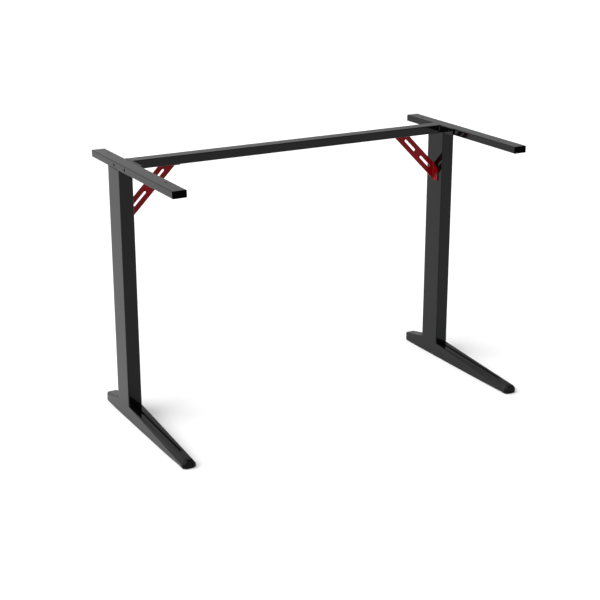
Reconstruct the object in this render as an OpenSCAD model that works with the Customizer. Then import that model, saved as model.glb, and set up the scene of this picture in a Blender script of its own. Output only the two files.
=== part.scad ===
// Steel desk frame: two T-shaped legs, each a foot, a column and a side rail, joined by one cross rail and
// two slotted corner braces. It takes a separate desktop on the four screw holes in the side rails.
// X runs along the desk's width, the user sits at -Y, and Z = 0 is the floor under the levelling glides.

/* [Frame] */
// Width over the outer faces of the legs
frame_w = 1095; // [700:5:1800]
// Height from the floor to the top of the rails
frame_h = 750; // [600:5:900]
// Column centre to the front end of the side rail
rail_front = 391; // [250:1:500]
// Column centre to the rear end of the side rail
rail_rear = 159; // [110:1:250]

/* [Tubes] */
// Width of the legs: column, side rail and foot share it
tube_w = 40; // [38:1:60]
// Depth of the column, front to back
column_d = 80; // [70:1:120]
// Height of the side rail
rail_h = 20; // [18:1:40]
// Width of the cross rail, front to back
cross_w = 40; // [34:1:60]
// Height of the cross rail
cross_h = 25; // [20:1:50]
// Cross rail's centre in front of the column's centre
cross_forward = 7.5; // [0:0.5:12]
// Wall of every tube
wall = 1.5; // [1.2:0.1:2.5]
// Outer corner radius of every tube
tube_r = 2.5; // [2.5:0.1:4]

/* [Feet] */
// Column centre to the front tip of the foot, cap included
foot_front = 408; // [300:1:520]
// Column centre to the rear end of the foot
foot_rear = 143; // [125:1:240]
// Height of the foot under the column
foot_h = 43; // [38:0.5:60]
// Height of the foot at its front tip
toe_h = 24; // [24:0.5:34]
// Height of the upright part of the foot's side at its front tip
toe_side_h = 9; // [6:0.5:14]
// Width of the foot's top at its front tip
toe_top_w = 18; // [16:0.5:30]
// Height of the foot at its rear end
heel_h = 25; // [24:0.5:36]
// Width of the foot's top at its rear end
heel_top_w = 26; // [20:0.5:36]
// Wall of the foot
foot_wall = 2.5; // [2:0.1:3]
// Corner radius of the foot's ends, seen from above
toe_r = 16; // [6:0.5:18]
// Length of the plastic tip at the front of the foot
tip_len = 13; // [11:0.5:20]
// Width of the groove along the foot's top
groove_w = 7; // [3:0.5:8]
// Depth of the groove
groove_depth = 6; // [3:0.5:7]
// Front tip of the foot to the front end of the groove
groove_tip_gap = 58; // [50:1:120]

/* [Braces] */
// Thickness of the brace's sheet
sheet = 3; // [2:0.25:4]
// Width of the strap
strap_w = 36.5; // [24:0.5:50]
// Corner of the frame to the strap's outer edge, along either tube
brace_reach = 151.5; // [130:0.5:220]
// Middle of the strap's sheet behind the column's centre
brace_back = 4; // [0:0.5:6]
// Depth of the bent tabs, from the middle of the strap's sheet
tab_d = 24; // [20:0.5:28]
// Width of the long slots
slot_w = 7.5; // [5:0.5:12]
// Solid strap left between the two slots
slot_land = 26.5; // [16:0.5:40]
// Slot to the tube, along the strap
slot_margin = 23; // [16:0.5:30]

/* [Holes and fasteners] */
// Desktop screw hole in the side rail
desk_hole_d = 6.5; // [4.5:0.1:8]
// Desktop screw hole to the leg's outer face
desk_hole_in = 25.5; // [16:0.5:27]
// Front desktop screw hole to the front end of the side rail
desk_hole_front_in = 96; // [30:1:120]
// Rear desktop screw hole to the rear end of the side rail
desk_hole_rear_in = 64; // [30:1:66]
// Gap between the two screws that hold the cross rail on each side
rail_screw_gap = 72; // [50:1:90]
// Thickness of the plate on each end of the cross rail
end_plate_t = 5; // [4:0.5:8]
// Gap between the two screws that hold the foot on the column
foot_screw_gap = 46; // [30:1:52]
// Thickness of the tapped plate in the column's lower end
base_plate_t = 8; // [6:0.5:12]

/* [Levelling glides] */
// How far a glide stands out of the foot when screwed right in
glide_proud = 1; // [0.5:0.5:3]
// How far a glide can be screwed out, the joints' travel
glide_travel = 10; // [5:1:10]
// Diameter of the glide's pad
pad_d = 20; // [16:1:22]
// Thickness of the glide's pad
pad_t = 5; // [4:0.5:6]
// Front glide to the front tip of the foot
glide_front_in = 42; // [38:1:70]
// Rear glide to the rear end of the foot
glide_rear_in = 38; // [30:1:40]

/* [Hidden] */
$fn = 48;
eps = 0.01;

// Where the main pieces lie
leg_x = frame_w / 2;
column_y = (foot_front - rail_rear) / 2;
foot_z = glide_proud;
column_z0 = foot_z + foot_h;
rail_z0 = frame_h - rail_h;
cross_z0 = frame_h - cross_h;
inner_x = leg_x - tube_w;
cross_y = column_y - cross_forward;
cross_len = 2 * (inner_x - end_plate_t);
leg_mid_x = leg_x - tube_w / 2;

// Screws: shank diameter, head diameter, head height, hex socket across its flats
m5_cap = [5, 8.5, 5, 4];
m5_button = [5, 9.5, 2.8, 3];
m8_cap = [8, 13, 8, 6];
socket_share = 0.55;
thread_gap = 0.1;
screw_gap = 0.5;
rail_screw_len = wall + end_plate_t + 1.5;
brace_screw_len = 14;
foot_screw_len = 16;
rail_access_d = m5_cap[1] + screw_gap;
rail_mid_z = rail_z0 + rail_h / 2;
rail_screw_ys = [cross_y, cross_y - rail_screw_gap];
end_plate_front = 16;
foot_access_d = m8_cap[1] + 3;
washer = [17, 1.6];
foot_screw_ys = [column_y - foot_screw_gap / 2, column_y + foot_screw_gap / 2];

// Rivet nuts: body and collar
rivet_d = 7;
rivet_len = 12;
rivet_collar = 10;
rivet_collar_h = 3;

// How far a cutter runs past the face that it opens
over = 1;

// Brace geometry, measured from the corner between cross rail and column
bend_r = sheet;
bend_out = bend_r + sheet;
strap_inner = brace_reach - strap_w * sqrt(2);
strap_mid = (strap_inner + brace_reach) / 2;
brace_y = column_y + brace_back;
tab_corner_r = 6;
tab_hole_in = 8.5;
brace_hole_from = brace_reach - 19.5;
brace_hole_out = tab_d - tab_hole_in;
brace_hole_y = brace_y - brace_hole_out;
slot_len = (strap_mid * sqrt(2) - 2 * slot_margin - slot_land) / 2;

// Foot
toe_slope = atan((foot_h - toe_h) / (foot_front - column_d / 2));
tip_from = foot_front - tip_len;
spigot_len = 10;
heel_side_h = heel_h - (tube_w - heel_top_w) / 2;
groove_end = foot_front - groove_tip_gap;

// Glides: the stud keeps a few turns of thread in its socket when screwed right out
pocket_gap = 1;
pocket_h = pad_t - glide_proud + pocket_gap / 2;
socket_wall = 2;
socket_h = 15;
socket_d = pad_d + 2 * pocket_gap + 2 * socket_wall;
stud_d = 8;
stud_seat = 2;
stud_grip = 6.5;
stud_top = foot_z + pocket_h + glide_travel + stud_grip;
stud_gap = 0.05;
pad_edge = 1;
glide_ys = [column_y - foot_front + glide_front_in, column_y + foot_rear - glide_rear_in];

// Plugs in the rail ends
plug_face_t = 2;
plug_depth = 18;
plug_gap = 0.2;
plug_wall = 2;

// ---- general shapes ----

module rounded_rect(w, h, r) {
  square([w - 2 * r, h], center = true);
  square([w, h - 2 * r], center = true);
  for (sx = [-1, 1], sy = [-1, 1])
    translate([sx * (w / 2 - r), sy * (h / 2 - r)])
      circle(r);
}

module tube_section(w, h) {
  difference() {
    rounded_rect(w, h, tube_r);
    rounded_rect(w - 2 * wall, h - 2 * wall, tube_r - wall);
  }
}

// Mirrors the right-hand piece to the left side
module side(sx) {
  if (sx > 0) {
    children();
  } else {
    mirror([1, 0, 0]) children();
  }
}

// Turns a piece drawn along +Z to point outwards, to the rear or to the front
module outwards() {
  rotate([90, 0, 90]) children();
}

module rearwards() {
  rotate([90, 0, 180]) children();
}

module frontwards() {
  rotate([90, 0, 0]) children();
}

// Shank along +Z and the hex socket in a head that is drawn below the origin by children
module screw(size, len) {
  cylinder(d = size[0] - 2 * thread_gap, h = len);
  difference() {
    children();
    translate([0, 0, -size[2] - over])
      cylinder(d = size[3] / cos(30), h = socket_share * size[2] + over, $fn = 6);
  }
}

// Button-head screw: the head is a slice of a ball
module button_screw(size, len) {
  head_r = size[1] / 2;
  ball_r = (head_r * head_r + size[2] * size[2]) / (2 * size[2]);
  screw(size, len)
    intersection() {
      translate([0, 0, ball_r - size[2]]) sphere(ball_r);
      translate([0, 0, -size[2]]) cylinder(d = size[1] + over, h = size[2]);
    }
}

// Socket cap screw
module cap_screw(size, len) {
  screw(size, len)
    translate([0, 0, -size[2]]) cylinder(d = size[1], h = size[2]);
}

// ---- right-hand pieces; the left-hand ones are their mirror images ----

module side_rail() {
  color("#2b2b2d")
  difference() {
    translate([leg_mid_x, column_y + rail_rear - plug_face_t, rail_mid_z])
      frontwards() linear_extrude(rail_front + rail_rear - 2 * plug_face_t) tube_section(tube_w, rail_h);
    desk_holes();
    for (y = rail_screw_ys) {
      translate([inner_x - over, y, rail_mid_z])
        outwards() cylinder(d = m5_cap[0] + screw_gap, h = wall + 2 * over);
      translate([leg_x - wall - over, y, rail_mid_z])
        outwards() cylinder(d = rail_access_d, h = wall + 2 * over);
    }
  }
}

module desk_holes() {
  for (y = [column_y - rail_front + desk_hole_front_in, column_y + rail_rear - desk_hole_rear_in])
    translate([leg_x - desk_hole_in, y, rail_z0 - over]) cylinder(d = desk_hole_d, h = rail_h + 2 * over);
}

module column() {
  color("#2b2b2d")
  difference() {
    translate([leg_mid_x, column_y, column_z0])
      linear_extrude(rail_z0 - column_z0) tube_section(tube_w, column_d);
    translate([inner_x - over, brace_hole_y, cross_z0 - brace_hole_from])
      outwards() cylinder(d = rivet_d, h = wall + 2 * over);
  }
}

module base_plate() {
  color("#8a8d90")
  difference() {
    translate([leg_mid_x, column_y, column_z0])
      linear_extrude(base_plate_t) rounded_rect(tube_w - 2 * wall, column_d - 2 * wall, tube_r - wall);
    for (y = [-1, 1] * foot_screw_gap / 2)
      translate([leg_mid_x, column_y + y, column_z0 - over])
        cylinder(d = m8_cap[0], h = base_plate_t + 2 * over);
  }
}

// One cross-section of the foot: upright sides, then a slope in to the narrower top
module foot_section(y, top_w, top_h, side_h, inset) {
  half = tube_w / 2 - inset;
  top_half = min(half, (top_w - inset) / 2);
  shoulder = min(side_h, top_h) - inset / 2;
  translate([leg_mid_x, column_y + y, foot_z])
    frontwards() linear_extrude(eps)
      polygon([
        [-half, inset], [half, inset], [half, shoulder],
        [top_half, top_h - inset], [-top_half, top_h - inset], [-half, shoulder]
      ]);
}

module foot_wedge(inset) {
  hull() {
    foot_section(-foot_front, toe_top_w, toe_h, toe_side_h, inset);
    foot_section(-column_d / 2, tube_w, foot_h, foot_h - inset / 2, inset);
    foot_section(column_d / 2, tube_w, foot_h, foot_h - inset / 2, inset);
    foot_section(foot_rear, heel_top_w, heel_h, heel_side_h, inset);
  }
}

// Plan outline of the foot with rounded corners, pulled in by inset
module foot_plan(inset) {
  plan_len = foot_front + foot_rear - 2 * inset;
  translate([leg_mid_x, column_y + (foot_rear - foot_front) / 2, 0])
    linear_extrude(column_z0 + over) rounded_rect(tube_w - 2 * inset, plan_len, toe_r - inset);
}

module foot_body(inset) {
  intersection() {
    foot_wedge(inset);
    foot_plan(inset);
  }
}

// A block as wide as the foot between two distances in front of the column's centre
module foot_slice(from, to) {
  translate([inner_x - over, column_y - to, 0]) cube([tube_w + 2 * over, to - from, column_z0 + over]);
}

// Bar along the foot's sloping top, used for the groove and for the wall around it
module groove_bar(w, depth, end) {
  run = end - column_d / 2;
  translate([leg_mid_x, column_y - column_d / 2, column_z0])
    rotate([toe_slope, 0, 0])
      translate([-w / 2, -run, -depth]) cube([w, run, depth + 3 * over]);
}

module foot_cavity() {
  difference() {
    foot_body(foot_wall);
    groove_bar(groove_w + 2 * foot_wall, groove_depth + foot_wall, groove_end + foot_wall);
  }
}

module foot() {
  color("#2b2b2d")
  difference() {
    foot_body(0);
    foot_cavity();
    groove_bar(groove_w, groove_depth, groove_end);
    foot_slice(tip_from, foot_front + over);
    for (y = foot_screw_ys) {
      translate([leg_mid_x, y, column_z0 - foot_wall - over])
        cylinder(d = m8_cap[0] + screw_gap, h = foot_wall + 2 * over);
      translate([leg_mid_x, y, 0]) cylinder(d = foot_access_d, h = foot_z + foot_wall + over);
    }
    for (y = glide_ys)
      translate([leg_mid_x, y, 0]) cylinder(d = socket_d, h = foot_z + foot_wall + over);
  }
}

// Plastic tip: a solid nose and a hollow spigot that plugs into the foot
module foot_tip() {
  color("#0c0c0d") {
    intersection() {
      foot_body(0);
      foot_slice(tip_from, foot_front + over);
    }
    difference() {
      intersection() {
        foot_wedge(foot_wall + plug_gap);
        foot_slice(tip_from - spigot_len, tip_from + eps);
      }
      foot_wedge(foot_wall + plug_gap + plug_wall);
    }
  }
}

// End plug of a rail, its face at the origin's far side of the rail's end
module rail_plug() {
  plug_w = tube_w - 2 * (wall + plug_gap);
  plug_h = rail_h - 2 * (wall + plug_gap);
  linear_extrude(plug_face_t) rounded_rect(tube_w, rail_h, tube_r);
  translate([0, 0, -plug_depth])
    linear_extrude(plug_depth) difference() {
      rounded_rect(plug_w, plug_h, tube_r - wall);
      rounded_rect(plug_w - 2 * plug_wall, plug_h - 2 * plug_wall, (tube_r - wall) / 2);
    }
}

module rail_front_plug() {
  color("#0c0c0d")
    translate([leg_mid_x, column_y - rail_front + plug_face_t, rail_mid_z]) frontwards() rail_plug();
}

module rail_rear_plug() {
  color("#0c0c0d")
    translate([leg_mid_x, column_y + rail_rear - plug_face_t, rail_mid_z]) rearwards() rail_plug();
}

module end_plate() {
  plate_front = cross_y - rail_screw_gap - end_plate_front;
  plate_rear = cross_y + cross_w / 2;
  color("#2b2b2d")
  difference() {
    translate([inner_x - end_plate_t, plate_front, rail_z0])
      cube([end_plate_t, plate_rear - plate_front, rail_h]);
    for (y = rail_screw_ys)
      translate([inner_x - end_plate_t - over, y, rail_mid_z])
        outwards() cylinder(d = m5_cap[0], h = end_plate_t + 2 * over);
  }
}

module rail_screws() {
  color("#1c1c1e")
    for (y = rail_screw_ys)
      translate([inner_x + wall, y, rail_mid_z])
        mirror([1, 0, 0]) outwards() cap_screw(m5_cap, rail_screw_len);
}

module foot_screws() {
  color("#9a9da0")
    for (y = foot_screw_ys)
      translate([leg_mid_x, y, column_z0 - foot_wall - washer[1]]) cap_screw(m8_cap, foot_screw_len);
}

module foot_washers() {
  color("#b0b3b6")
    for (y = foot_screw_ys)
      translate([leg_mid_x, y, column_z0 - foot_wall - washer[1]]) difference() {
        cylinder(d = washer[0], h = washer[1]);
        translate([0, 0, -over]) cylinder(d = m8_cap[0] + screw_gap, h = washer[1] + 2 * over);
      }
}

// ---- brace, drawn with x away from the column, y down from the cross rail and z to the front ----

module brace_frame() {
  translate([inner_x, brace_y, cross_z0]) rotate([90, 180, 0]) children();
}

// Swaps the column's end of the brace for the cross rail's end
module both_ends() {
  children();
  mirror([1, -1, 0]) children();
}

module strap_web() {
  translate([0, 0, -sheet / 2])
    linear_extrude(sheet)
      polygon([
        [bend_out, strap_inner - bend_out], [strap_inner - bend_out, bend_out],
        [brace_reach - bend_out, bend_out], [bend_out, brace_reach - bend_out]
      ]);
}

// Section of the bend and its tab, x away from the column and y to the front
module tab_profile() {
  bend_mid = sheet / 2 + bend_r;
  translate([0, bend_mid]) square([sheet, tab_d - bend_mid]);
  intersection() {
    translate([bend_out, bend_mid]) difference() {
      circle(bend_out);
      circle(bend_r);
    }
    translate([0, -sheet / 2]) square(bend_out);
  }
}

// Outline of the tab, x to the front and y down from the cross rail
module tab_outline() {
  run = tab_d + sheet / 2;
  difference() {
    polygon([
      [-sheet / 2, strap_inner - bend_out], [tab_d, strap_inner - bend_out + run],
      [tab_d, brace_reach], [bend_out - sheet / 2, brace_reach], [-sheet / 2, brace_reach - bend_out]
    ]);
    translate([tab_d - tab_corner_r, brace_reach - tab_corner_r]) difference() {
      square(tab_corner_r + over);
      circle(tab_corner_r);
    }
  }
}

module strap_tab() {
  intersection() {
    translate([0, brace_reach + over, 0]) rotate([90, 0, 0]) linear_extrude(brace_reach) tab_profile();
    mirror([1, 0, 0]) rotate([0, -90, 0]) linear_extrude(bend_out) tab_outline();
  }
}

module strap_slot(from) {
  translate([from, 0]) circle(d = slot_w);
  translate([from, -slot_w / 2]) square([slot_len - slot_w, slot_w]);
  translate([from + slot_len - slot_w, 0]) circle(d = slot_w);
}

module brace() {
  color("#8f1626")
  brace_frame() difference() {
    union() {
      strap_web();
      both_ends() strap_tab();
    }
    translate([0, strap_mid, -sheet]) rotate([0, 0, -45]) linear_extrude(2 * sheet) {
      strap_slot(slot_margin + slot_w / 2);
      strap_slot(slot_margin + slot_len + slot_land + slot_w / 2);
    }
    both_ends()
      translate([-over, brace_hole_from, brace_hole_out])
        rotate([0, 90, 0]) cylinder(d = m5_button[0] + screw_gap, h = sheet + 2 * over);
  }
}

module brace_screws() {
  color("#1c1c1e")
    brace_frame() both_ends()
      translate([sheet, brace_hole_from, brace_hole_out])
        rotate([0, -90, 0]) button_screw(m5_button, brace_screw_len);
}

module rivet_nut() {
  difference() {
    union() {
      cylinder(d = rivet_d, h = rivet_len);
      translate([0, 0, wall]) cylinder(d = rivet_collar, h = rivet_collar_h);
    }
    translate([0, 0, -over]) cylinder(d = m5_button[0], h = rivet_len + 2 * over);
  }
}

module rivet_nuts() {
  color("#b0b3b6")
    brace_frame() both_ends()
      translate([0, brace_hole_from, brace_hole_out]) rotate([0, -90, 0]) rivet_nut();
}

// ---- cross rail, across the whole frame ----

module cross_rail() {
  color("#2b2b2d")
  difference() {
    translate([-cross_len / 2, cross_y, cross_z0 + cross_h / 2])
      outwards() linear_extrude(cross_len) tube_section(cross_w, cross_h);
    for (sx = [-1, 1])
      translate([sx * (inner_x - brace_hole_from), brace_hole_y, cross_z0 - over])
        cylinder(d = rivet_d, h = wall + 2 * over);
  }
}

// ---- levelling glides ----

module glide_socket(y) {
  color("#8a8d90")
  translate([leg_mid_x, y, foot_z]) difference() {
    cylinder(d = socket_d, h = socket_h);
    translate([0, 0, -over]) cylinder(d = pad_d + 2 * pocket_gap, h = pocket_h + over);
    cylinder(d = stud_d, h = socket_h + over);
  }
}

module glide_pad(y) {
  color("#0c0c0d")
  translate([leg_mid_x, y, 0]) difference() {
    union() {
      cylinder(d1 = pad_d - 2 * pad_edge, d2 = pad_d, h = pad_edge);
      translate([0, 0, pad_edge]) cylinder(d = pad_d, h = pad_t - pad_edge);
    }
    translate([0, 0, stud_seat]) cylinder(d = stud_d - 2 * stud_gap, h = pad_t);
  }
}

module glide_stud(y) {
  color("#b0b3b6")
  translate([leg_mid_x, y, stud_seat]) cylinder(d = stud_d - 2 * stud_gap, h = stud_top - stud_seat);
}

cross_rail();
side(-1) side_rail();  // side_rail_left
side(1) side_rail();  // side_rail_right
side(-1) column();  // column_left
side(1) column();  // column_right
side(-1) foot();  // foot_left
side(1) foot();  // foot_right
side(-1) foot_tip();  // foot_tip_left
side(1) foot_tip();  // foot_tip_right
side(-1) end_plate();  // end_plate_left
side(1) end_plate();  // end_plate_right
side(-1) brace();  // brace_left
side(1) brace();  // brace_right
side(-1) rail_front_plug();  // rail_front_plug_left
side(1) rail_front_plug();  // rail_front_plug_right
side(-1) rail_rear_plug();  // rail_rear_plug_left
side(1) rail_rear_plug();  // rail_rear_plug_right
side(-1) base_plate();  // base_plate_left
side(1) base_plate();  // base_plate_right
side(-1) foot_screws();  // foot_screws_left
side(1) foot_screws();  // foot_screws_right
side(-1) foot_washers();  // foot_washers_left
side(1) foot_washers();  // foot_washers_right
side(-1) rail_screws();  // rail_screws_left
side(1) rail_screws();  // rail_screws_right
side(-1) brace_screws();  // brace_screws_left
side(1) brace_screws();  // brace_screws_right
side(-1) rivet_nuts();  // rivet_nuts_left
side(1) rivet_nuts();  // rivet_nuts_right
side(-1) glide_socket(glide_ys[0]);  // glide_socket_front_left
side(1) glide_socket(glide_ys[0]);  // glide_socket_front_right
side(-1) glide_socket(glide_ys[1]);  // glide_socket_rear_left
side(1) glide_socket(glide_ys[1]);  // glide_socket_rear_right
side(-1) glide_pad(glide_ys[0]);  // glide_pad_front_left
side(1) glide_pad(glide_ys[0]);  // glide_pad_front_right
side(-1) glide_pad(glide_ys[1]);  // glide_pad_rear_left
side(1) glide_pad(glide_ys[1]);  // glide_pad_rear_right
side(-1) glide_stud(glide_ys[0]);  // glide_stud_front_left
side(1) glide_stud(glide_ys[0]);  // glide_stud_front_right
side(-1) glide_stud(glide_ys[1]);  // glide_stud_rear_left
side(1) glide_stud(glide_ys[1]);  // glide_stud_rear_right
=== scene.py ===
import math

import bmesh
import bpy
from mathutils import Matrix, Vector


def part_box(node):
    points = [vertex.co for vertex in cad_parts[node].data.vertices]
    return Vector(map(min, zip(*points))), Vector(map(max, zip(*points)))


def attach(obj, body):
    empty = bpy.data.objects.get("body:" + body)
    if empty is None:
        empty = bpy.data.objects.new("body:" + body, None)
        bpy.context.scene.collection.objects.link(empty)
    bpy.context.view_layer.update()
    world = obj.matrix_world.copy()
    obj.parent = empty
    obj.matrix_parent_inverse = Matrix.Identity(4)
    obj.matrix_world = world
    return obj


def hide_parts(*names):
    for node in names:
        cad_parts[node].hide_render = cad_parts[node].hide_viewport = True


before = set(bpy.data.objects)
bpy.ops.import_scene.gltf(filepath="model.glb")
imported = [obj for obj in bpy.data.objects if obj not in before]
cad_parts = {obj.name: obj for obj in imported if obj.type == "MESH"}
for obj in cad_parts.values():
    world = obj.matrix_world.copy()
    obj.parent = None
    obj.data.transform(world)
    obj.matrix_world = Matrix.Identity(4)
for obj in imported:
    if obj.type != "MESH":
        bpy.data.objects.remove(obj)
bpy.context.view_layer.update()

MM = 0.001
SIDES = ("left", "right")
scene = bpy.context.scene


def link(obj):
    scene.collection.objects.link(obj)
    return obj


# ---- camera: looks down at the frame from its left front ----
CAMERA_AT = Vector((-1.8661, -3.2702, 1.5708))
CAMERA_AIM = Vector((-0.038, 0.0, 0.306))
LENS_MM = 81.76
camera_data = bpy.data.cameras.new("camera")
camera_data.lens = LENS_MM
camera_data.sensor_width = 36
camera = link(bpy.data.objects.new("camera", camera_data))
camera.location = CAMERA_AT
camera.rotation_mode = "QUATERNION"
camera.rotation_quaternion = (CAMERA_AIM - CAMERA_AT).to_track_quat("-Z", "Y")
scene.camera = camera
scene.view_settings.view_transform = "Standard"


# ---- materials ----
def node(tree, kind, x, y, **settings):
    made = tree.nodes.new(kind)
    made.location = (x, y)
    for key, value in settings.items():
        setattr(made, key, value)
    return made


def noise(tree, coords, scale, detail, x, y):
    made = node(tree, "ShaderNodeTexNoise", x, y)
    made.inputs["Scale"].default_value = scale
    made.inputs["Detail"].default_value = detail
    tree.links.new(coords, made.inputs["Vector"])
    return made.outputs["Fac"]


def ramp(tree, source, low, high, x, y, start=0.35, end=0.65):
    made = node(tree, "ShaderNodeMapRange", x, y)
    made.inputs["From Min"].default_value = start
    made.inputs["From Max"].default_value = end
    made.inputs["To Min"].default_value = low
    made.inputs["To Max"].default_value = high
    tree.links.new(source, made.inputs["Value"])
    return made.outputs["Result"]


def new_material(name):
    material = bpy.data.materials.new(name)
    material.use_nodes = True
    tree = material.node_tree
    return material, tree, tree.nodes["Principled BSDF"]


# Marks per metre in the colour and in the gloss
CLOUDS = 9.0
SMEARS = 35.0


def surface(name, dark, light, rough, ior, skin, metallic=0.0, stretch=(1, 1, 1)):
    """A finish of two close colours in soft clouds, an uneven gloss and a fine skin. rough is the gloss's two
    ends, skin is the bumps' density per metre, strength and height, and stretch packs the marks along an axis."""
    material, tree, shader = new_material(name)
    coords = node(tree, "ShaderNodeTexCoord", -1400, 0).outputs["Object"]
    clouds = ramp(tree, noise(tree, coords, CLOUDS, 4.0, -950, 300), 0, 1, -650, 300)
    mix = node(tree, "ShaderNodeMix", -400, 300, data_type="RGBA")
    mix.inputs["A"].default_value = (*dark, 1)
    mix.inputs["B"].default_value = (*light, 1)
    tree.links.new(clouds, mix.inputs["Factor"])
    tree.links.new(mix.outputs["Result"], shader.inputs["Base Color"])
    drawn = node(tree, "ShaderNodeMapping", -1200, -150)
    drawn.inputs["Scale"].default_value = stretch
    tree.links.new(coords, drawn.inputs["Vector"])
    smears = ramp(tree, noise(tree, drawn.outputs["Vector"], SMEARS, 5.0, -950, 0), *rough, -650, 0)
    tree.links.new(smears, shader.inputs["Roughness"])
    bump = node(tree, "ShaderNodeBump", -400, -300)
    bump.inputs["Strength"].default_value = skin[1]
    bump.inputs["Distance"].default_value = skin[2]
    tree.links.new(noise(tree, drawn.outputs["Vector"], skin[0], 2.0, -950, -300), bump.inputs["Height"])
    tree.links.new(bump.outputs["Normal"], shader.inputs["Normal"])
    shader.inputs["IOR"].default_value = ior
    shader.inputs["Metallic"].default_value = metallic
    return material


PEEL = (420.0, 0.22, 0.00006)
GRAIN = (1500.0, 0.5, 0.00008)
BRUSHED = (900.0, 0.35, 0.00003)
MATERIALS = {
    "black_paint": surface("black_paint", (0.0010, 0.0010, 0.0011), (0.0020, 0.0020, 0.0022),
                           (0.05, 0.10), 1.278, PEEL),
    "red_paint": surface("red_paint", (0.136, 0.0010, 0.0023), (0.168, 0.0013, 0.0032),
                         (0.10, 0.18), 1.18, PEEL),
    "black_plastic": surface("black_plastic", (0.0005, 0.0005, 0.0005), (0.0011, 0.0011, 0.0011),
                             (0.38, 0.52), 1.06, GRAIN),
    "tip_plastic": surface("tip_plastic", (0.0012, 0.0012, 0.0012), (0.0026, 0.0026, 0.0026),
                           (0.24, 0.36), 1.17, GRAIN),
    "plain_steel": surface("plain_steel", (0.36, 0.37, 0.38), (0.46, 0.47, 0.48),
                           (0.25, 0.40), 1.5, BRUSHED, 1.0, (1, 1, 6)),
    "zinc_steel": surface("zinc_steel", (0.55, 0.56, 0.58), (0.68, 0.69, 0.70),
                          (0.20, 0.32), 1.5, BRUSHED, 1.0, (1, 1, 4)),
    "dark_steel": surface("dark_steel", (0.006, 0.006, 0.007), (0.014, 0.014, 0.015),
                          (0.30, 0.42), 1.35, BRUSHED),
}

# ---- the CAD nodes that stay: the finish of their slot, and a fine break on their sharp edges ----
EDGE_BREAK = 0.35 * MM
EDGE_ANGLE = math.radians(40)
EDGE_SEGMENTS = 2
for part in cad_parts.values():
    for slot in part.material_slots:
        slot.material = MATERIALS[slot.material.name.split(".")[0]]
    bevel = part.modifiers.new("edges", "BEVEL")
    bevel.width = EDGE_BREAK
    bevel.segments = EDGE_SEGMENTS
    bevel.limit_method = "ANGLE"
    bevel.angle_limit = EDGE_ANGLE
    bevel.harden_normals = True


# ---- mesh building ----
MOST_REACH = 0.45
HOLE_SEGMENTS = 48
FACE_WEIGHT = 100


def fillet(points, radii, steps):
    """A closed outline with each corner turned into an arc of steps + 1 points."""
    made = []
    count = len(points)
    for i, corner in enumerate(points):
        before, after = points[i - 1] - corner, points[(i + 1) % count] - corner
        half = before.angle(after) / 2
        reach = min(radii[i] / math.tan(half), MOST_REACH * before.length, MOST_REACH * after.length)
        start, end = corner + before.normalized() * reach, corner + after.normalized() * reach
        for k in range(steps + 1):
            t = k / steps
            made.append(start * (1 - t) ** 2 + corner * 2 * t * (1 - t) + end * t * t)
    return made


def loft(rings):
    """A closed mesh through rings of the same number of points."""
    build = bmesh.new()
    rows = [[build.verts.new(p) for p in ring] for ring in rings]
    for a, b in zip(rows, rows[1:]):
        for i in range(len(a)):
            j = (i + 1) % len(a)
            build.faces.new((a[i], a[j], b[j], b[i]))
    build.faces.new(list(reversed(rows[0])))
    build.faces.new(rows[-1])
    bmesh.ops.recalc_face_normals(build, faces=build.faces)
    return build


def piece(name, build, slot, replaced=(), finish=None):
    """Makes a bmesh into a finished piece that rides on the frame, in its slot's finish unless another is named."""
    mesh = bpy.data.meshes.new(name)
    build.to_mesh(mesh)
    build.free()
    obj = link(bpy.data.objects.new(name, mesh))
    mesh.materials.append(MATERIALS[finish or slot])
    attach(obj, "frame")
    if replaced:
        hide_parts(*replaced)
    return obj


def smooth(obj):
    """Smooth shading with crisp corners, and flat faces that stay flat."""
    mesh = obj.data
    mesh.shade_smooth()
    mesh.set_sharp_from_angle(angle=EDGE_ANGLE)
    weighted = obj.modifiers.new("normals", "WEIGHTED_NORMAL")
    weighted.keep_sharp = True
    weighted.weight = FACE_WEIGHT


def cylinder(x, y, z0, z1, d):
    """A cutter for a round hole."""
    build = bmesh.new()
    bmesh.ops.create_cone(build, cap_ends=True, segments=HOLE_SEGMENTS, radius1=d / 2, radius2=d / 2,
                          depth=z1 - z0, matrix=Matrix.Translation((x, y, (z0 + z1) / 2)))
    return build


def cut(obj, cutters):
    """Takes each bmesh in cutters away from obj."""
    for i, build in enumerate(cutters):
        mesh = bpy.data.meshes.new(f"cutter{i}")
        build.to_mesh(mesh)
        build.free()
        tool = link(bpy.data.objects.new(f"cutter{i}", mesh))
        boolean = obj.modifiers.new("cut", "BOOLEAN")
        boolean.operation = "DIFFERENCE"
        boolean.solver = "EXACT"
        boolean.object = tool
        graph = bpy.context.evaluated_depsgraph_get()
        result = bpy.data.meshes.new_from_object(obj.evaluated_get(graph))
        obj.modifiers.remove(boolean)
        obj.data = result
        bpy.data.objects.remove(tool)


# ---- feet ----
COLUMN_DEPTH = 80 * MM
TOE_TOP = 18 * MM
TOE_SIDE = 9 * MM
TOE_H = 24 * MM
HEEL_TOP = 26 * MM
HEEL_SIDE = 18 * MM
HEEL_H = 25 * MM
HEEL_R = 16 * MM
HEEL_SOFT = 7 * MM
TIP_LEN = 13 * MM
SEAM = 0.2 * MM
RIDGE_R = 4 * MM
HEEL_RIDGE_R = 7 * MM
SOLE_R = 1.2 * MM
HEEL_SOLE_R = 4.5 * MM
TOE_SOLE_R = 5 * MM
ARC_STEPS = 10
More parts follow.
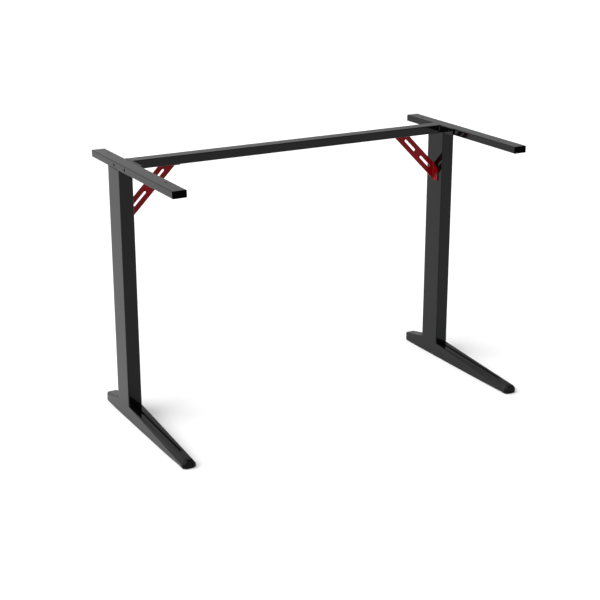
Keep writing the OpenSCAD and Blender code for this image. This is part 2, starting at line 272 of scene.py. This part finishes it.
# The blunt front end in mm: distance short of the end, how far the sides come in, how far the top comes down
TOE_STEPS = [(8, 0, 0), (7.2, 0.15, 0), (6.4, 0.6, 0), (4, 2.6, 0.1), (2.4, 4.1, 0.6), (1.2, 5.4, 1.3),
             (0.5, 6.3, 2.0), (0.12, 7.0, 2.6), (0, 7.8, 3.2)]
TOE_BLEND = 12 * MM
# Sections in front of the column's centre, besides those at the two ends
STATIONS = (-100 * MM, -75 * MM, -COLUMN_DEPTH / 2, COLUMN_DEPTH / 2, 120 * MM, 200 * MM, 280 * MM)
LEAST_SLOPE = 0.3 * MM
SOLE_SHARE = 0.6
RIM_STEPS = 4
GROOVE_W = 7 * MM
GROOVE_DEPTH = 6 * MM
GROOVE_TIP_GAP = 58 * MM
GROOVE_ABOVE = 3 * MM
# Blind holes under the foot: a narrow mouth, and a wider bore above it that clears the washer
MOUTH_TOP = 6 * MM
BORE_FROM = 4 * MM
WASHER_GAP = 1 * MM


def foot_ring(x, y, z0, half, side_h, top_half, top_h, lift=0.0, ridge=RIDGE_R, sole=SOLE_R):
    """One cross-section of a foot, in a plane across its length, with its sole raised by lift."""
    side_h = min(side_h, top_h - LEAST_SLOPE)
    top_half = min(top_half, half - LEAST_SLOPE)
    corners = [Vector((-half, z0 + lift)), Vector((half, z0 + lift)), Vector((half, z0 + side_h)),
               Vector((top_half, z0 + top_h)), Vector((-top_half, z0 + top_h)), Vector((-half, z0 + side_h))]
    radii = [sole + lift, sole + lift, ridge, ridge, ridge, ridge]
    return [Vector((x + p.x, y, p.y)) for p in fillet(corners, radii, RIM_STEPS)]


def foot_profile(d, foot):
    """Side height, top half width and height at d in front of the column's centre."""
    front, rear, foot_h, half = foot["front"], foot["rear"], foot["foot_h"], foot["half"]
    if d > COLUMN_DEPTH / 2:
        t = (d - COLUMN_DEPTH / 2) / (front - COLUMN_DEPTH / 2)
        ends = (TOE_SIDE, TOE_TOP / 2, TOE_H)
    elif d < -COLUMN_DEPTH / 2:
        t = (-d - COLUMN_DEPTH / 2) / (rear - COLUMN_DEPTH / 2)
        ends = (HEEL_SIDE, HEEL_TOP / 2, HEEL_H)
    else:
        return foot_h, half, foot_h
    return [a + (b - a) * t for a, b in zip((foot_h, half, foot_h), ends)]


def end_ring(foot, d, pull, drop, ridge, sole):
    """The section at d with its sides pulled in, its top lowered by drop and its sole raised by part of that."""
    side_h, top_half, top_h = foot_profile(d, foot)
    plan = foot["half"] - pull
    if plan > top_half:
        side_h += pull * (top_h - side_h) / max(foot["half"] - top_half, 0.1 * MM)
    else:
        side_h = top_h
    return foot_ring(foot["x"], foot["column_y"] - d, foot["z0"], plan, side_h - drop, top_half, top_h - drop,
                     drop * SOLE_SHARE, ridge, sole)


def heel_ring(foot, e):
    """The section e short of the heel, which is round in plan and soft along its upper and lower edges."""
    pull = HEEL_R - math.sqrt(HEEL_R ** 2 - (HEEL_R - min(e, HEEL_R)) ** 2)
    drop = HEEL_SOFT - math.sqrt(HEEL_SOFT ** 2 - (HEEL_SOFT - min(e, HEEL_SOFT)) ** 2)
    return end_ring(foot, e - foot["rear"], pull, drop, HEEL_RIDGE_R, HEEL_SOLE_R)


def toe_ring(foot, e, pull=0.0, drop=0.0):
    """The section e short of the front end."""
    return end_ring(foot, foot["front"] - e, pull, drop, RIDGE_R, TOE_SOLE_R)


def groove_cutter(foot):
    """A box sunk into the sloping top of the foot, from the column to short of the tip."""
    slope = math.atan((foot["foot_h"] - TOE_H) / (foot["front"] - COLUMN_DEPTH / 2))
    run = foot["front"] - GROOVE_TIP_GAP - COLUMN_DEPTH / 2
    start = Vector((foot["x"], foot["column_y"] - COLUMN_DEPTH / 2, foot["z0"] + foot["foot_h"]))
    build = bmesh.new()
    bmesh.ops.create_cube(build, size=1, matrix=Matrix.Translation(start) @ Matrix.Rotation(slope, 4, "X")
                          @ Matrix.Translation((0, -run / 2, (GROOVE_ABOVE - GROOVE_DEPTH) / 2))
                          @ Matrix.Diagonal((GROOVE_W, run, GROOVE_ABOVE + GROOVE_DEPTH, 1)))
    return build


def make_foot(name):
    """The painted foot, with its groove and the holes under it, and the tip in its front end."""
    low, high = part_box(f"foot_{name}")
    col_low, col_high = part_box(f"column_{name}")
    tip_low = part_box(f"foot_tip_{name}")[0]
    column_y = (col_low.y + col_high.y) / 2
    foot = {"x": (low.x + high.x) / 2, "z0": low.z, "half": (high.x - low.x) / 2, "foot_h": high.z - low.z,
            "column_y": column_y, "front": column_y - tip_low.y, "rear": high.y - column_y}
    x, z0, rear = foot["x"], foot["z0"], foot["rear"]
    arc = [1 - math.cos(math.pi / 2 * k / ARC_STEPS) for k in range(ARC_STEPS + 1)]
    rings = [heel_ring(foot, HEEL_R * a) for a in arc]
    for d in STATIONS:
        behind = max(0.0, (-d - COLUMN_DEPTH / 2) / (rear - COLUMN_DEPTH / 2))
        rings.append(foot_ring(x, column_y - d, z0, foot["half"], *foot_profile(d, foot),
                               ridge=RIDGE_R + (HEEL_RIDGE_R - RIDGE_R) * behind,
                               sole=SOLE_R + (HEEL_SOLE_R - SOLE_R) * behind))
    rings.append(toe_ring(foot, TIP_LEN + TOE_BLEND))
    rings.append(toe_ring(foot, TIP_LEN))
    skin = piece(f"foot_skin_{name}", loft(rings), "black_paint", [f"foot_{name}"])

    cutters = [groove_cutter(foot)]
    for where in ("front", "rear"):
        a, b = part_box(f"glide_socket_{where}_{name}")
        cutters.append(cylinder(x, (a.y + b.y) / 2, 0, b.z, b.x - a.x))
    washer_low, washer_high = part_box(f"foot_washers_{name}")
    washer_r = (washer_high.x - washer_low.x) / 2
    for y in (washer_low.y + washer_r, washer_high.y - washer_r):
        cutters.append(cylinder(x, y, 0, z0 + MOUTH_TOP, 2 * washer_r - WASHER_GAP))
        cutters.append(cylinder(x, y, z0 + BORE_FROM, washer_high.z, 2 * washer_r + WASHER_GAP))
    cut(skin, cutters)
    skin.data.materials.clear()
    skin.data.materials.append(MATERIALS["black_paint"])
    smooth(skin)

    cap = [toe_ring(foot, TIP_LEN - SEAM)]
    cap += [toe_ring(foot, *(v * MM for v in step)) for step in TOE_STEPS]
    smooth(piece(f"foot_cap_{name}", loft(cap), "black_plastic", [f"foot_tip_{name}"], "tip_plastic"))


for name in SIDES:
    make_foot(name)


# ---- plugs in the rails' ends ----
PLUG_W = 40 * MM
PLUG_H = 20 * MM
PLUG_R = 2.5 * MM
PLUG_LEAST_R = 0.8 * MM
PLUG_RIM_STEPS = 5
# From the buried end out to the middle of the dished face, in mm: depth behind the face, inset all round
PLUG_STEPS = [(18, 3.7), (2, 1.75), (2, 0.05), (1.2, 0.0), (0.6, 0.12), (0.2, 0.45), (0, 0.95), (0, 1.9),
              (0.25, 2.2), (0.75, 2.5), (0.9, 3.0)]


def plug_ring(centre, y, inset):
    """One section of a plug, across the rail."""
    half_w, half_h = PLUG_W / 2 - inset, PLUG_H / 2 - inset
    corners = [Vector((sx * half_w, sz * half_h)) for sx, sz in ((-1, -1), (1, -1), (1, 1), (-1, 1))]
    radius = max(PLUG_R - inset, PLUG_LEAST_R)
    return [Vector((centre.x + p.x, y, centre.z + p.y)) for p in fillet(corners, [radius] * 4, PLUG_RIM_STEPS)]


def make_plug(name, which):
    """A plug with a soft rim and a slightly dished face."""
    low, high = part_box(f"rail_{which}_plug_{name}")
    centre = (low + high) / 2
    face, inward = (low.y, 1) if which == "front" else (high.y, -1)
    rings = [plug_ring(centre, face + inward * depth * MM, inset * MM) for depth, inset in PLUG_STEPS]
    smooth(piece(f"{which}_plug_{name}", loft(rings), "black_plastic", [f"rail_{which}_plug_{name}"]))


for name in SIDES:
    for which in ("front", "rear"):
        make_plug(name, which)

# ---- weld beads, painted over ----
BEAD_R = 1.9 * MM
BEAD_PITCH = 2.4 * MM
BEAD_SIDES = 10
BEAD_RIPPLE = 0.10
BEAD_END = 0.35
BEAD_TAPER = 6
BEADS_IN = 4 * MM
PLATE_BEADS_IN = 3 * MM


def bead(name, start, end):
    """A rippled bead laid along a line, tapering in at both ends."""
    along = end - start
    steps = max(8, round(along.length / BEAD_PITCH) * 4)
    across = along.normalized().orthogonal()
    side = along.normalized().cross(across)
    rings = []
    for k in range(steps + 1):
        t = k / steps
        ripple = 1 + BEAD_RIPPLE * math.sin(2 * math.pi * t * along.length / BEAD_PITCH)
        taper = min(1.0, BEAD_END + BEAD_TAPER * min(t, 1 - t))
        r = BEAD_R * ripple * taper
        turns = [2 * math.pi * i / BEAD_SIDES for i in range(BEAD_SIDES)]
        rings.append([start + along * t + across * r * math.cos(a) + side * r * math.sin(a) for a in turns])
    smooth(piece(name, loft(rings), "black_paint"))


for name in SIDES:
    low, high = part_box(f"column_{name}")
    for where, y in (("front", low.y), ("rear", high.y)):
        bead(f"column_weld_{where}_{name}", Vector((low.x + BEADS_IN, y, high.z)),
             Vector((high.x - BEADS_IN, y, high.z)))
    plate_low, plate_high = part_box(f"end_plate_{name}")
    rail_low, rail_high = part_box("cross_rail")
    x = plate_low.x if name == "right" else plate_high.x
    for where, y in (("front", rail_low.y), ("rear", rail_high.y)):
        bead(f"cross_weld_{where}_{name}", Vector((x, y, plate_low.z + PLATE_BEADS_IN)),
             Vector((x, y, rail_high.z - PLATE_BEADS_IN)))

# ---- floor ----
FLOOR_SPAN = 30.0
FLOOR_COLOR = (0.95, 0.95, 0.95)
FLOOR_ROUGH = 0.9


def make_floor():
    mesh = bpy.data.meshes.new("floor")
    build = bmesh.new()
    bmesh.ops.create_grid(build, x_segments=8, y_segments=8, size=FLOOR_SPAN)
    build.to_mesh(mesh)
    build.free()
    floor = link(bpy.data.objects.new("floor", mesh))
    material, tree, shader = new_material("pale_floor")
    shader.inputs["Base Color"].default_value = (*FLOOR_COLOR, 1)
    shader.inputs["Roughness"].default_value = FLOOR_ROUGH
    shader.inputs["Specular IOR Level"].default_value = 0.0
    mesh.materials.append(material)


make_floor()

# ---- surroundings: white to the camera, and a glow that fades from left to right for everything else ----
SKY_SEEN = (1.0, 1.0, 1.0)
LEFT_LIGHT, RIGHT_LIGHT = 1.27, 0.46
LEFT_X, RIGHT_X = -0.5, 0.55
world = bpy.data.worlds.new("studio")
world.use_nodes = True
scene.world = world
sky = world.node_tree
across = node(sky, "ShaderNodeSeparateXYZ", -700, -100)
sky.links.new(node(sky, "ShaderNodeTexCoord", -900, -100).outputs["Generated"], across.inputs["Vector"])
glow = ramp(sky, across.outputs["X"], LEFT_LIGHT, RIGHT_LIGHT, -500, -100, LEFT_X, RIGHT_X)
path = node(sky, "ShaderNodeLightPath", -600, 200)
choose = node(sky, "ShaderNodeMix", -300, 100, data_type="RGBA")
choose.inputs["B"].default_value = (*SKY_SEEN, 1)
sky.links.new(glow, choose.inputs["A"])
sky.links.new(path.outputs["Is Camera Ray"], choose.inputs["Factor"])
sky.links.new(choose.outputs["Result"], sky.nodes["Background"].inputs["Color"])

# ---- one broad, soft light from the left ----
KEY_FROM = Vector((-0.84, 0.10, 0.55))
KEY_ENERGY = 2.4
KEY_ANGLE = math.radians(70)
key_data = bpy.data.lights.new("key", "SUN")
key_data.energy = KEY_ENERGY
key_data.angle = KEY_ANGLE
key = link(bpy.data.objects.new("key", key_data))
key.rotation_mode = "QUATERNION"
key.rotation_quaternion = KEY_FROM.to_track_quat("Z", "Y")
